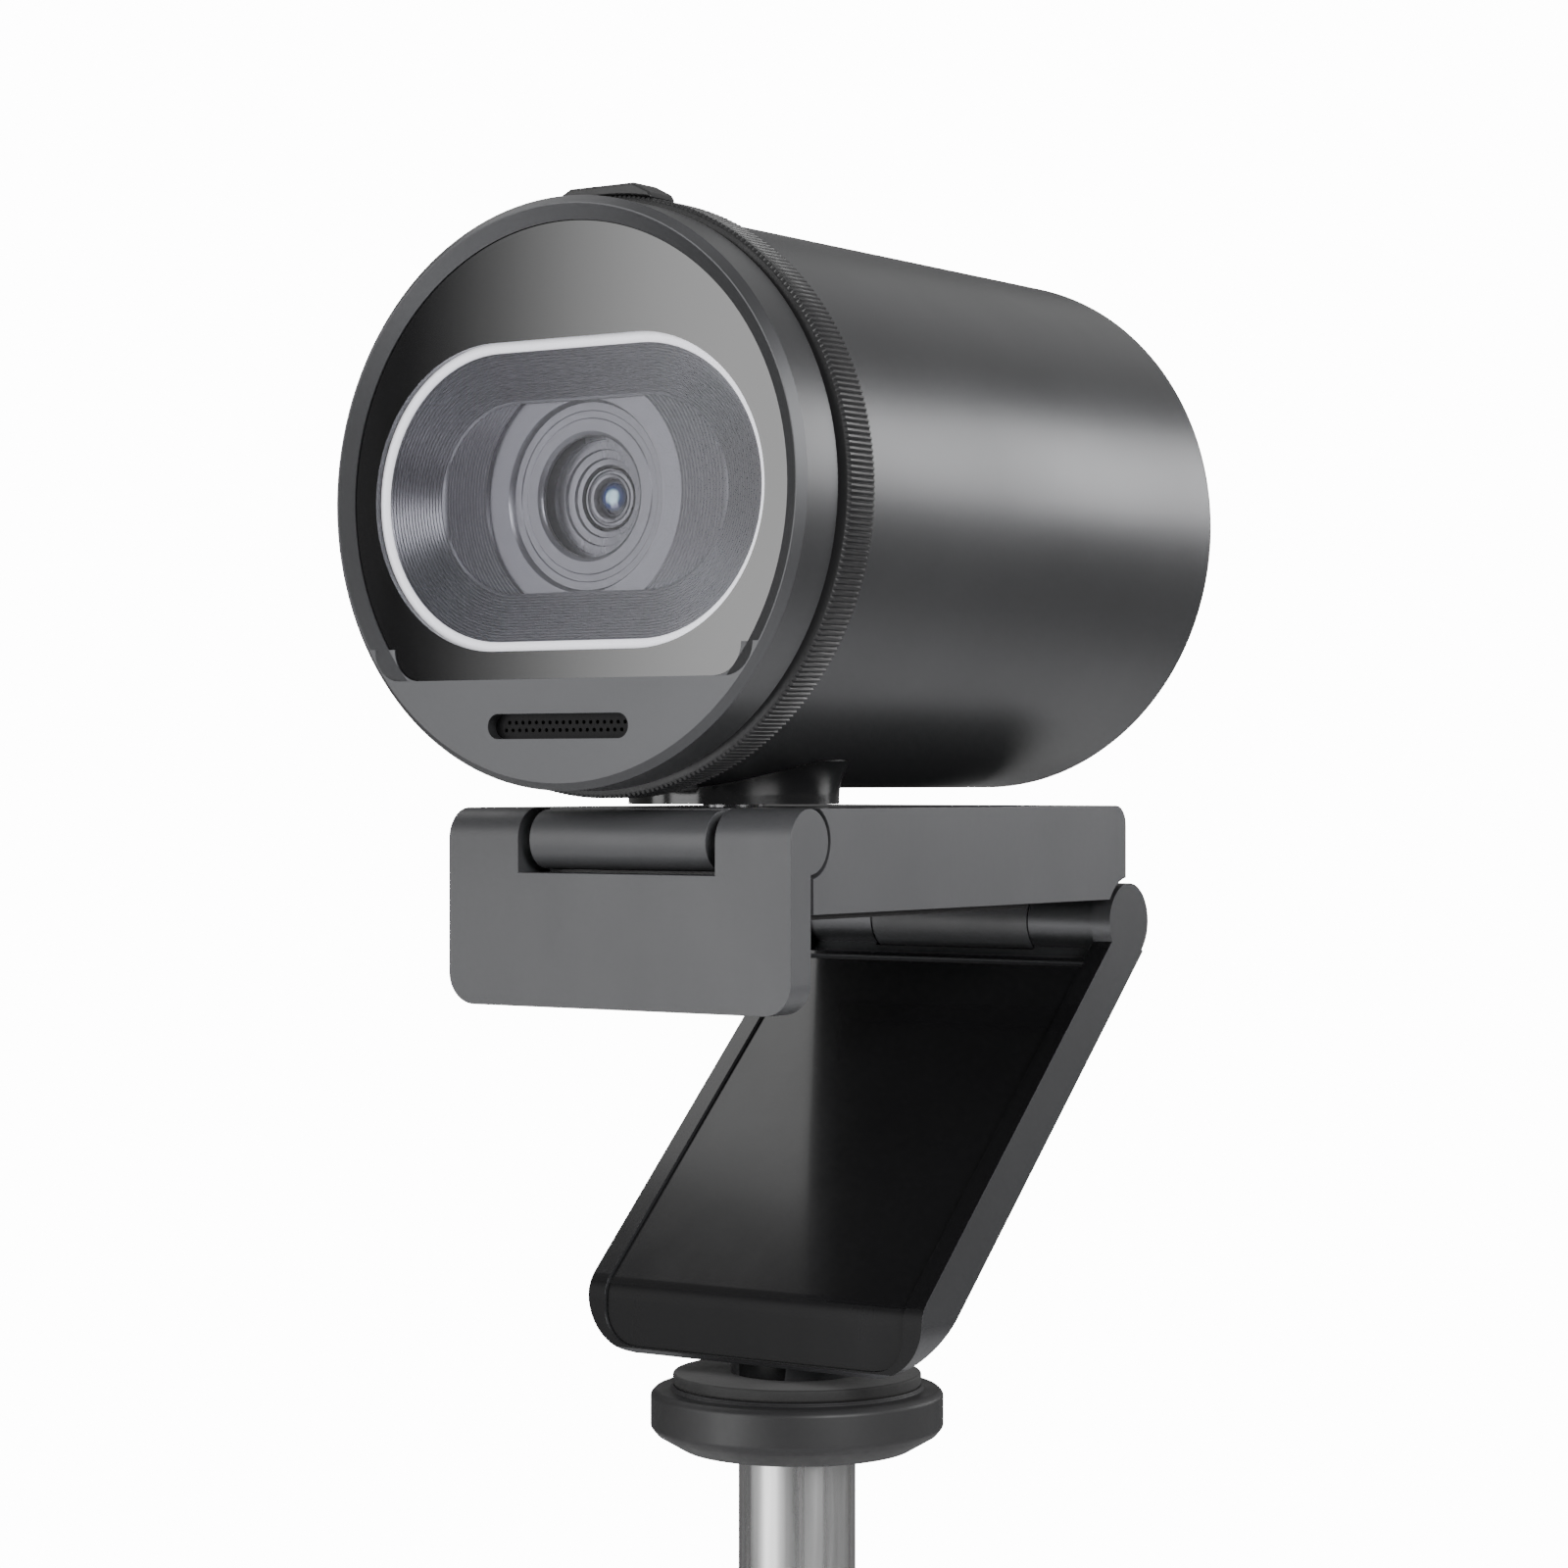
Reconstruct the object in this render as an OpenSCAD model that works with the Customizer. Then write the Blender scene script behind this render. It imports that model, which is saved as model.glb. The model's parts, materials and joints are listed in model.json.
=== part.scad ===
/* [Webcam head] */
// Radius of the front bezel
bezel_r = 27; // [27:0.1:27.6]
// Depth of the bezel from the front face to the groove
bezel_depth = 5.4; // [4.5:0.1:6]
// Radius of the turning privacy ring
ring_r = 27.7; // [27.5:0.1:28]
// Radius of the barrel housing
barrel_r = 26.8; // [26:0.1:27]
// Length of the head from front face to rear edge
head_length = 75.6; // [70:0.1:82]
// Radius of the recessed window
window_r = 24.9; // [24:0.1:24.9]
// Height of the window's flat lower edge, below the barrel's axis
window_flat = 16.9; // [16:0.1:18]

/* [Clip] */
// Width of the clip
clip_w = 39.6; // [38:0.1:42]
// Distance from the head's front face to the lip's front face
lip_setback = 8.6; // [8:0.1:10]
// Height of the front lip
lip_h = 18.7; // [17:0.1:20]
// Thickness of the front lip
lip_t = 3.2; // [3:0.1:3.6]
// Thickness of the arm
arm_t = 9.6; // [9.4:0.1:10]
// Slant of the leg, from vertical
leg_slant = 47; // [40:1:52]
// Length of the leg from hinge to toe
leg_length = 53; // [50:0.5:56]

/* [Tripod] */
// Height of the tripod's mounting face above the table
tripod_h = 315; // [310:1:320]
// Outer radius of the hub
hub_r = 14.5; // [14:0.1:15]
// Splay of the legs, from vertical
leg_splay = 34.7; // [30:0.1:36]
// Radius of the mounting stud
stud_r = 3.175; // [3.1:0.005:3.2]

/* [Hidden] */
$fn = 96;

// The head's axis and front face stand over the tripod's axis, which is the origin.
face_y = -38.5;
axis_z = tripod_h + 84.5;

// Bezel, glass and trim, as depths behind the front face
glass_y = 0.9;
glass_t = 0.6;
corner_r = 3;
rim_w = 1.3;
rim_depth = 0.75;
mic_z = -21.1;
mic_back = 1.8;
stadium_r = 14.3;
stadium_half = 8.1;
trim_w = 1.05;
trim_y = glass_y + glass_t;
surround_y = 2.2;
surround_back = 5.5;
funnel_steps = 12;
funnel_y = 3.6;
recess_r = 9;
recess_half = 7.5;
throat_r = 5.6;

// Privacy shutter: the blade swings in a gap behind the surround
shutter_y = 5.8;
shutter_t = 0.4;
shutter_arm = 12;
shutter_park = 58;
shutter_r = 5.9;
shutter_pin_r = 0.9;
running = 0.06;

// Lens stack
housing_y = 6.5;
flange_t = 1.5;
barrel_lens_r = 4.3;
lens_r = 2.75;
lens_y = 7.9;
sensor_y = 20;
sensor_w = 5.8;
sensor_h = 4.4;
board_y = 40;
board_t = 1.4;
post_spread = 16;
plate_y = 44;

// Rings and shell
ring_y0 = 6.3;
ring_y1 = 10.6;
sleeve_r = 25.1;
sleeve_wall = 1.6;
shell_y0 = 10.9;
shell_in_r = 25.2;
edge_r = 1.1;
cap_y = head_length - 2.6;
cap_screws = 20;
socket_z = -10;
socket_r = 1.6;
socket_half = 2.9;
socket_l = 5.8;

// Clip, in the head's frame: y from the front face, z from the barrel's axis
arm_top = -28.6;
arm_bottom = arm_top - arm_t;
arm_y0 = lip_setback + lip_t + 0.4;
arm_y1 = 69.5;
arm_round = 2;
pan_y = 27.7;
neck_r = 10.2;
neck_flare = 2.2;
neck_rise = 3.4;
neck_base = arm_top + 0.3;
post_r = 3;
post_foot = arm_top - 3.05;
washer_t = 0.6;
lip_axis_y = lip_setback + 3;
lip_axis_z = arm_top - 3;
knuckle_r = 2.8;
knuckle_half = 10.2;
notch_half = 11.4;
lip_pin_r = 1.2;
lip_corner_r = 3;
cavity_y = 17;
cavity_w = 33;
cavity_l = 43;
cavity_h = 6.6;
hinge_y = 70.1;
hinge_z = -40.6;
ear_r = 4;
ear_w = 2.2;
rear_knuckle_half = 9.6;
rear_knuckle_r = 3.5;
rear_pin_r = 1.4;
rail_w = 2.1;
panel_inset = 0.35;
panel_t = 1.05;
leg_back_y = 4.3;
toe_r = 5.5;
toe_bottom = -82.9;
bend_points = [[-1, 0.9], [-0.85, 0], [-0.45, -0.85], [0.2, -1.55]];
bend_normals = [[1, 0], [0.98, 0.2], [0.87, 0.49], [cos(leg_slant), sin(leg_slant)]];
skin = 0.9;

// Tripod heights above the table
disc_r = 14.5;
hub_top = 146;
hub_seam = 121;
hub_bottom = 107;
low_top = 201;
mid_top = 253.5;
disc_bottom = 307.5;
disc_t = 6.3;
stud_rise = 4.8;
top_tube_r = 5.8;
mid_tube_r = 6.65;
low_tube_r = 7.7;
tube_gap = 0.08;
pin_ring_r = 11;
pin_z = 115;
leg_pin_r = 1.25;
leg_outer_r = 15.3;
leg_inner_r = 10.3;
leg_wedge = 58;
wedge_x = 40 * cos(leg_wedge) - pin_ring_r;
wedge_y = 40 * sin(leg_wedge);
tongue_w = 9;
tongue_r = 3.5;
web_r = 5.8;
wide_top = -12;
leg_end = -130;
foot_end = -148;
bar_t = 1.1;
bar_x = -4.8;
bar_end = -58;
leg_angles = [90, 210, 330];

// ---------- shared shapes ----------

module in_head() translate([0, face_y, axis_z]) children();

// A flat outline in x and z, standing from depth y0 to y1
module plate(y0, y1) translate([0, y1, 0]) rotate([90, 0, 0]) linear_extrude(y1 - y0) children();

// A profile of radius and depth, turned about the barrel's axis
module turned() rotate([-90, 0, 0]) rotate_extrude() children();

module stadium(r, half) {
    square([2 * half, 2 * r], center = true);
    for (side = [-1, 1]) translate([side * half, 0]) circle(r);
}

// Round window with a flat lower edge and rounded corners
module window(r, flat) {
    corner_x = sqrt(pow(r - corner_r, 2) - pow(flat - corner_r, 2));
    corner_tilt = atan2(flat - corner_r, corner_x);
    difference() {
        circle(r);
        translate([-r, -2 * r - flat + corner_r]) square([2 * r, 2 * r]);
        for (side = [-1, 1])
            polygon([
                [side * corner_x, corner_r - flat],
                [side * corner_x * 2, corner_r - flat],
                [side * corner_x * 2, (corner_r - flat) - tan(corner_tilt) * corner_x]
            ]);
    }
    for (side = [-1, 1]) translate([side * corner_x, corner_r - flat]) circle(corner_r);
    translate([-corner_x, -flat]) square([2 * corner_x, corner_r + 1]);
}

module post_ring(y0, y1, r, spread, first = 45)
    for (angle = [first:90:first + 270]) rotate([0, angle, 0]) translate([spread, y0, 0])
        rotate([-90, 0, 0]) cylinder(h = y1 - y0, r = r);

// What lies outside the rounded lower corners of a plate, drawn in x and z
module outside_corners(half, r, bottom) for (side = [-1, 1])
    translate([side * (half - r), bottom + r]) difference() {
        translate([side < 0 ? -r - 5 : 0, -r - 5]) square([r + 5, r + 5]);
        circle(r);
    }

module mic_slot() translate([0, mic_z]) stadium(1.15, 6.9);

// ---------- head ----------

module front_bezel() color("dimgray") in_head() difference() {
    turned() polygon([
        [0, 0], [bezel_r - 0.7, 0], [bezel_r, 0.7], [bezel_r, bezel_depth],
        [sleeve_r + 0.4, bezel_depth], [sleeve_r + 0.4, ring_y0 - 0.3], [0, ring_y0 - 0.3]
    ]);
    plate(glass_y, ring_y0) window(window_r, window_flat);
    plate(-1, glass_y) window(window_r - 0.1, window_flat - 0.1);
    // Sloping rim round the window, which ends flush with its flat edge
    intersection() {
        turned() polygon([
            [0, -0.01], [window_r + rim_w, -0.01], [window_r - 0.1, rim_depth], [0, rim_depth]
        ]);
        plate(-1, 1) window(window_r + rim_w, window_flat - 0.1);
    }
    plate(-1, ring_y0) mic_slot();
}

module front_glass() color([0.1, 0.1, 0.12, 0.5]) in_head()
    plate(glass_y, trim_y) window(window_r - 0.05, window_flat - 0.05);

module trim_ring() color("silver") in_head() plate(trim_y, surround_y) difference() {
    stadium(stadium_r, stadium_half);
    stadium(stadium_r - trim_w, stadium_half);
}

module mic_mesh() color("black") in_head() plate(1.2, mic_back) mic_slot();

module microphones() color("silver") in_head()
    for (side = [-1, 1]) translate([side * 5.5 - 1.5, mic_back, mic_z - 1.1]) cube([3, 1.1, 2.2]);

// Funnel of stadium steps, then a flat recess with circular steps down to the throat
module lens_surround() color("gray") in_head() difference() {
    plate(surround_y, surround_back) stadium(stadium_r + 1.5, stadium_half);
    for (step = [0:funnel_steps - 1]) {
        part = step / funnel_steps;
        plate(surround_y - 0.1, surround_y + (funnel_y - surround_y) * (step + 1) / funnel_steps)
            stadium(stadium_r - trim_w - (stadium_r - trim_w - recess_r) * part,
                stadium_half + (recess_half - stadium_half) * part);
    }
    plate(surround_y, 4.1) intersection() {
        circle(11.2);
        stadium(recess_r - 0.2, recess_half);
    }
    plate(surround_y, 4.7) circle(8.6);
    plate(surround_y, surround_back + 1) circle(throat_r);
}

// The blade is drawn parked; turning it by shutter_park brings its disc over the throat.
module shutter_blade() color("darkred") in_head() translate([0, 0, -shutter_arm])
    rotate([0, shutter_park, 0]) difference() {
        plate(shutter_y, shutter_y + shutter_t) union() {
            translate([0, shutter_arm]) circle(shutter_r);
            translate([-2, 0]) square([4, shutter_arm - 3]);
            circle(2);
        }
        plate(shutter_y - 1, shutter_y + 1) circle(shutter_pin_r + running);
    }

module shutter_pin() color("silver") in_head() translate([0, surround_back, -shutter_arm])
    rotate([-90, 0, 0]) cylinder(h = housing_y - surround_back, r = shutter_pin_r);

module lens_housing() color("darkslategray") in_head() difference() {
    turned() polygon([
        [0, housing_y], [sleeve_r - sleeve_wall, housing_y],
        [sleeve_r - sleeve_wall, housing_y + flange_t], [12.5, housing_y + flange_t], [12.5, 19],
        [6.5, 19], [6.5, sensor_y], [0, sensor_y]
    ]);
    turned() polygon([
        [0, housing_y - 1], [5.4, housing_y - 1], [5.3, 7], [4.5, 7.05], [4.4, 7.35], [3.7, 7.4],
        [3.6, 7.7], [3.1, 7.75], [3.1, 8.7],
        [barrel_lens_r, 8.7], [barrel_lens_r, sensor_y + 1], [0, sensor_y + 1]
    ]);
}

module lens_barrel() color("black") in_head() turned() polygon([
    [2.85, 8.8], [barrel_lens_r - 0.05, 8.8], [barrel_lens_r - 0.05, 18.6],
    [2.6, 18.6], [2.6, 16.5], [2.85, 16.5]
]);

module front_lens() color([0.3, 0.4, 0.6, 0.6]) in_head() turned() union() {
    intersection() {
        translate([0, lens_y + 4.6]) circle(4.6);
        square([lens_r, lens_y + 1.1]);
    }
    translate([0, lens_y + 1.05]) square([lens_r, 0.9]);
}

module rear_lens() color([0.3, 0.4, 0.6, 0.6]) in_head() turned() polygon([
    [0, 13.2], [2.1, 13.4], [2.8, 13.6], [2.8, 15.4], [0, 15.4]
]);

module image_sensor() color("darkgreen") in_head() translate([-sensor_w / 2, sensor_y - 1, -sensor_h / 2])
    cube([sensor_w, 1, sensor_h]);

module sensor_board() color("green") in_head() difference() {
    plate(sensor_y, sensor_y + 1.2) square([27, 27], center = true);
    post_ring(sensor_y - 1, sensor_y + 2, 1.3, post_spread);
}

module board_posts() color("goldenrod") in_head() {
    post_ring(sensor_y + 1.2, board_y, 2.2, post_spread);
    post_ring(sensor_y - 1.5, sensor_y + 1.2, 1.2, post_spread);
}

module main_board() color("green") in_head() plate(board_y, board_y + board_t) circle(23);

module board_screws() color("silver") in_head()
    post_ring(board_y + board_t, board_y + 2.6, 2.4, post_spread);

module heat_sink() color("lightgray") in_head() {
    plate(plate_y, plate_y + 2) circle(22);
    for (fin = [-3:3]) translate([fin * 5 - 0.6, plate_y + 2, -14]) cube([1.2, 7, 28]);
    post_ring(board_y + board_t, plate_y, 1.5, 21, 0);
}

module inner_sleeve() color("black") in_head() difference() {
    turned() polygon([
        [sleeve_r - sleeve_wall, ring_y0 - 0.3], [sleeve_r, ring_y0 - 0.3],
        [sleeve_r, 16], [sleeve_r - sleeve_wall, 16]
    ]);
    translate([-30, 0, -40]) cube([60, 3, 10]);
}

module privacy_ring() color("black") in_head() turned() polygon([
    [sleeve_r + running, ring_y0], [ring_r - 0.3, ring_y0], [ring_r, ring_y0 + 0.3],
    [ring_r, ring_y1 - 0.3], [ring_r - 0.3, ring_y1], [sleeve_r + running, ring_y1]
]);

// Finger tab on top of the ring, with sloping ends
module privacy_tab() color("black") in_head() difference() {
    plate(ring_y0 + 0.2, ring_y1 - 0.2) polygon([
        [-5.9, 26.9], [-5.4, 27.8], [-3.6, 28.7], [3.6, 28.7], [5.4, 27.8], [5.9, 26.9]
    ]);
    plate(0, 20) circle(ring_r);
}

module barrel_housing() color("dimgray") in_head() difference() {
    turned() polygon(concat(
        [[shell_in_r, shell_y0], [barrel_r, shell_y0]],
        [for (turn = [0:15:90])
            [barrel_r - edge_r + edge_r * cos(turn), head_length - edge_r + edge_r * sin(turn)]],
        [[shell_in_r, head_length]]
    ));
    translate([0, pan_y, -27]) cylinder(h = 6, r = post_r + 0.2, center = true);
}

module rear_cap() color("dimgray") in_head() difference() {
    plate(cap_y, cap_y + 1.8) circle(shell_in_r - 0.02);
    translate([0, 0, socket_z]) plate(cap_y - 1, cap_y + 3) stadium(socket_r + 0.05, socket_half);
    post_ring(cap_y - 1, cap_y + 3, 1.3, cap_screws);
}

module rear_screws() color("black") in_head() post_ring(cap_y - 4, cap_y + 1.8, 1.28, cap_screws);

module usb_socket() color("silver") in_head() translate([0, 0, socket_z]) {
    plate(cap_y - socket_l, cap_y + 1.5) difference() {
        stadium(socket_r, socket_half);
        stadium(socket_r - 0.3, socket_half);
    }
    plate(cap_y - socket_l - 0.6, cap_y - socket_l) stadium(socket_r, socket_half);
}

module usb_tongue() color("black") in_head() translate([-3.3, cap_y - socket_l, socket_z - 0.35])
    cube([6.6, 5, 0.7]);

// ---------- neck and clip ----------

// Saddle between the round barrel and the arm; it flares towards the barrel
module neck() color("black") in_head() difference() {
    translate([0, pan_y, neck_base]) rotate_extrude() polygon(concat(
        [[post_r, 0], [neck_r, 0], [neck_r, 0.8]],
        [for (turn = [15:15:75]) [neck_r + neck_flare * (1 - cos(turn)), 0.8 + neck_rise * sin(turn)]],
        [[neck_r + neck_flare, 6], [post_r, 6]]
    ));
    rotate([-90, 0, 0]) cylinder(h = 90, r = barrel_r + 0.01);
}

module swivel_post() color("silver") in_head() translate([0, pan_y, post_foot]) difference() {
    cylinder(h = 6.6, r = post_r);
    translate([0, 0, -1]) cylinder(h = 6, r = 1.25);
}

module swivel_washer() color("silver") in_head() translate([0, pan_y, post_foot - washer_t]) difference() {
    cylinder(h = washer_t, r = 6);
    translate([0, 0, -1]) cylinder(h = 3, r = 1.3);
}

module swivel_screw() color("silver") in_head() translate([0, pan_y, post_foot - washer_t - 1.2]) {
    cylinder(h = 1.2, r = 2.4);
    cylinder(h = 5.6, r = 1.24);
}

// Extrudes a side view, drawn in y and z, across the clip
module across(width) rotate([90, 0, 90]) linear_extrude(width, center = true) children();

module arm() color("dimgray") in_head() difference() {
    union() {
        across(clip_w) polygon(concat(
            [[arm_y0, arm_top], [arm_y0, arm_bottom], [arm_y1, arm_bottom]],
            [for (turn = [0:15:90])
                [arm_y1 - arm_round + arm_round * cos(turn), arm_top - arm_round + arm_round * sin(turn)]]
        ));
        translate([-knuckle_half, lip_axis_y, lip_axis_z]) rotate([0, 90, 0])
            cylinder(h = 2 * knuckle_half, r = knuckle_r);
        translate([-knuckle_half, lip_axis_y, lip_axis_z - knuckle_r])
            cube([2 * knuckle_half, 2, 2 * knuckle_r]);
        translate([-rear_knuckle_half, hinge_y, hinge_z]) rotate([0, 90, 0])
            cylinder(h = 2 * rear_knuckle_half, r = rear_knuckle_r);
        translate([-rear_knuckle_half, hinge_y - 3, hinge_z])
            cube([2 * rear_knuckle_half, 3, arm_bottom - hinge_z + 1]);
    }
    // Room for the lip's lugs and the leg's ears
    for (side = [-1, 1]) translate([side * (knuckle_half + 15.2), lip_axis_y, lip_axis_z])
        rotate([0, 90, 0]) cylinder(h = 30, r = 3.4, center = true);
    for (side = [-1, 1]) translate([side * (rear_knuckle_half + 15.1), hinge_y, hinge_z])
        rotate([0, 90, 0]) cylinder(h = 30, r = ear_r + 0.6, center = true);
    // Cavity for the swivel's hardware, and its bores
    translate([-cavity_w / 2, cavity_y, arm_bottom - 1]) cube([cavity_w, cavity_l, 1 + cavity_h]);
    translate([0, pan_y, arm_bottom]) cylinder(h = 20, r = post_r + running);
    translate([-30, lip_axis_y, lip_axis_z]) rotate([0, 90, 0]) cylinder(h = 60, r = lip_pin_r);
    translate([-30, hinge_y, hinge_z]) rotate([0, 90, 0]) cylinder(h = 60, r = rear_pin_r);
}

module arm_cover() color("black") in_head() translate([0.1 - cavity_w / 2, cavity_y + 0.1, arm_bottom + 0.02])
    cube([cavity_w - 0.2, cavity_l - 0.2, 1.4]);

module arm_pad() color("black") in_head() translate([-15, 18, arm_bottom - 0.78]) cube([30, 40, 0.8]);

// Front lip with round lower corners; its lugs turn about the knuckle's pin
module front_lip() color("dimgray") in_head() difference() {
    union() {
        plate(lip_setback, lip_setback + lip_t) difference() {
            translate([-clip_w / 2, arm_top - lip_h]) square([clip_w, lip_h - 3]);
            outside_corners(clip_w / 2, lip_corner_r, arm_top - lip_h);
        }
        for (side = [-1, 1]) translate([side * (clip_w / 2 + notch_half) / 2, lip_axis_y, lip_axis_z])
            rotate([0, 90, 0]) cylinder(h = clip_w / 2 - notch_half, r = 3, center = true);
    }
    plate(0, 20) translate([-notch_half, lip_axis_z - 3.1]) square([2 * notch_half, 10]);
    translate([0, lip_axis_y, lip_axis_z]) rotate([0, 90, 0])
        cylinder(h = clip_w - 2 * skin, r = lip_pin_r + running, center = true);
}

module lip_pad() color("black") in_head()
    translate([-15, lip_setback + lip_t, arm_top - 17.2]) cube([30, 0.8, 7.4]);

module lip_pin() color("silver") in_head() translate([0, lip_axis_y, lip_axis_z])
    rotate([0, 90, 0]) cylinder(h = clip_w - 2 * skin - 0.4, r = lip_pin_r, center = true);

module rear_pin() color("silver") in_head() translate([0, hinge_y, hinge_z])
    rotate([0, 90, 0]) cylinder(h = clip_w - 2 * skin - 0.4, r = rear_pin_r, center = true);

module in_leg() in_head() translate([0, hinge_y, hinge_z]) rotate([-leg_slant, 0, 0]) children();

// Points of the leg's side view, where y is its thickness and z its length: the bend over the toe,
// moved inward by depth, and the toe's upright face below the bend
function bend(index, depth) = bend_points[index] + depth * bend_normals[index] - [0, leg_length];
function toe(depth, drop) = bend(3, depth) + drop * [sin(leg_slant), -cos(leg_slant)];

module leg_side() polygon([
    [-1, -6.4], bend(0, 0), bend(1, 0), bend(2, 0), bend(3, 0), toe(0, 4.5), toe(0.3, 5),
    [leg_back_y, -leg_length - 4.3], [leg_back_y, 0], [0.5, -0.5], [0.5, -6.4]
]);

// The gloss panel, or its tray, from depth front to depth back: it turns down over the toe
module panel_side(front, back) polygon([
    [front - 1, -6.9], bend(0, front), bend(1, front), bend(2, front), bend(3, front), toe(front, 4.4),
    toe(back - 0.5, 4.4), bend(3, back), bend(2, back), bend(1, back), bend(0, back), [back - 1, -6.9]
]);

// What lies outside the rounded lower corners of the toe
module toe_corners(half, r, bottom) plate(hinge_y - 50, hinge_y - 20) outside_corners(half, r, bottom);

// The gloss panel, smaller all round by gap; with a front beyond the slab it is the panel's tray
module gloss_panel(front, gap) difference() {
    in_leg() across(clip_w - 2 * (rail_w + gap)) panel_side(front, panel_inset + panel_t - gap);
    in_head() toe_corners(clip_w / 2 - rail_w - gap, toe_r - rail_w, toe_bottom + 0.6 + gap);
}

module clip_leg() color("dimgray") difference() {
    union() {
        in_leg() difference() {
            union() {
                across(clip_w) leg_side();
                for (side = [-1, 1]) translate([side * (clip_w - ear_w) / 2, 0, 0]) {
                    rotate([0, 90, 0]) cylinder(h = ear_w, r = ear_r, center = true);
                    translate([-ear_w / 2, -1, -7]) cube([ear_w, leg_back_y + 1, 7]);
                }
                for (side = [-1, 1]) translate([side * (rear_knuckle_half + clip_w / 2) / 2, 0, 0])
                    rotate([0, 90, 0]) cylinder(h = clip_w / 2 - rear_knuckle_half - 0.3,
                        r = rear_knuckle_r, center = true);
            }
            // Room for the arm's knuckle
            rotate([0, 90, 0])
                cylinder(h = 2 * rear_knuckle_half + 0.3, r = rear_knuckle_r + 0.4, center = true);
            translate([-rear_knuckle_half - 0.15, -3, -1.5]) cube([2 * rear_knuckle_half + 0.3, 10, 6.1]);
        }
        // Boss for the tripod's thread, standing behind the slab
        intersection() {
            translate([0, 0, tripod_h]) cylinder(h = 20, r = 6.5);
            in_leg() translate([-20, 1.6, -leg_length - 20]) cube([40, 40, leg_length + 17]);
        }
    }
    gloss_panel(-1, 0);
    in_head() toe_corners(clip_w / 2, toe_r, toe_bottom);
    translate([0, 0, tripod_h - 1]) cylinder(h = 7, r = 4.6);
    in_leg() rotate([0, 90, 0]) cylinder(h = clip_w - 2 * skin, r = rear_pin_r + running, center = true);
}

module leg_panel() color("black") gloss_panel(panel_inset, 0.02);

module thread_bush() color("goldenrod") translate([0, 0, tripod_h]) difference() {
    cylinder(h = 5.98, r = 4.6);
    translate([0, 0, -1]) cylinder(h = 6.6, r = stud_r + 0.07);
}

// ---------- tripod ----------

module stud() color("dimgray") translate([0, 0, disc_bottom])
    cylinder(h = tripod_h + stud_rise - disc_bottom, r = stud_r);

module top_disc() color("black") translate([0, 0, disc_bottom]) rotate_extrude() polygon([
    [stud_r, 0], [disc_r - 3.2, 0], [disc_r - 0.6, 1.5], [disc_r, 2.2], [disc_r, 5.4], [disc_r - 0.5, 5.9],
    [disc_r - 2, 5.9], [disc_r - 2, disc_t], [stud_r, disc_t]
]);

module disc_pad() color("black") translate([0, 0, disc_bottom + disc_t]) difference() {
    cylinder(h = tripod_h - disc_bottom - disc_t, r = 12.3);
    translate([0, 0, -1]) cylinder(h = 4, r = stud_r);
}

module tube(bottom, top, outer, inner) difference() {
    translate([0, 0, bottom]) cylinder(h = top - bottom, r = outer);
    translate([0, 0, bottom - 1]) cylinder(h = top - bottom + 2, r = inner);
}

module tube_top() color("silver") tube(mid_top - 10, disc_bottom, top_tube_r, 4.9);

module tube_mid() color("silver") tube(low_top - 10, mid_top - 1.4, mid_tube_r, top_tube_r + tube_gap);

// The lowest tube carries a pressed dimple on its front
module tube_low() color("silver") difference() {
    tube(hub_seam + 1, low_top - 1.4, low_tube_r, mid_tube_r + tube_gap);
    translate([0, -low_tube_r - 0.4, low_top - 12]) rotate([-90, 0, 0]) cylinder(h = 0.7, r = 1.6);
}

module mid_collar() color("black") tube(mid_top - 1.4, mid_top, mid_tube_r + 0.15, top_tube_r + tube_gap);

module low_collar() color("black") tube(low_top - 1.4, low_top, low_tube_r + 0.15, mid_tube_r + tube_gap);

module hub_upper() color("black") translate([0, 0, hub_seam]) rotate_extrude() polygon([
    [low_tube_r, 1], [3, 1], [3, 0], [hub_r - 0.6, 0], [hub_r, 0.6],
    [hub_r, hub_top - hub_seam - 0.6], [hub_r - 0.6, hub_top - hub_seam], [low_tube_r, hub_top - hub_seam]
]);

// Lower half of the hub with a slot for each leg's tongue
module hub_lower() color("black") difference() {
    translate([0, 0, hub_bottom]) rotate_extrude() polygon([
        [0, 0], [hub_r - 0.8, 0], [hub_r, 0.8], [hub_r, 13.4], [hub_r - 0.6, 14], [0, 14]
    ]);
    for (angle = leg_angles) rotate([0, 0, angle]) {
        translate([pin_ring_r - 4, -tongue_w / 2 - 0.2, hub_bottom - 1])
            cube([10, tongue_w + 0.4, pin_z + 4 - hub_bottom + 1]);
        translate([pin_ring_r, 0, pin_z]) rotate([90, 0, 0]) cylinder(h = 15.6, r = leg_pin_r, center = true);
    }
}

module leg_pins() color("black") for (angle = leg_angles) rotate([0, 0, angle])
    translate([pin_ring_r, 0, pin_z]) rotate([90, 0, 0]) cylinder(h = 15.4, r = leg_pin_r, center = true);

module splayed(angle) rotate([0, 0, angle]) translate([pin_ring_r, 0, pin_z])
    rotate([0, -leg_splay, 0]) children();

// Cross-section of a leg: a third of a round shell
module leg_arc(inner) intersection() {
    translate([-pin_ring_r, 0]) difference() {
        circle(leg_outer_r);
        circle(inner);
    }
    polygon([
        [-pin_ring_r, 0], [wedge_x, -wedge_y], [wedge_x + 40, -wedge_y],
        [wedge_x + 40, wedge_y], [wedge_x, wedge_y]
    ]);
}

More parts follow.
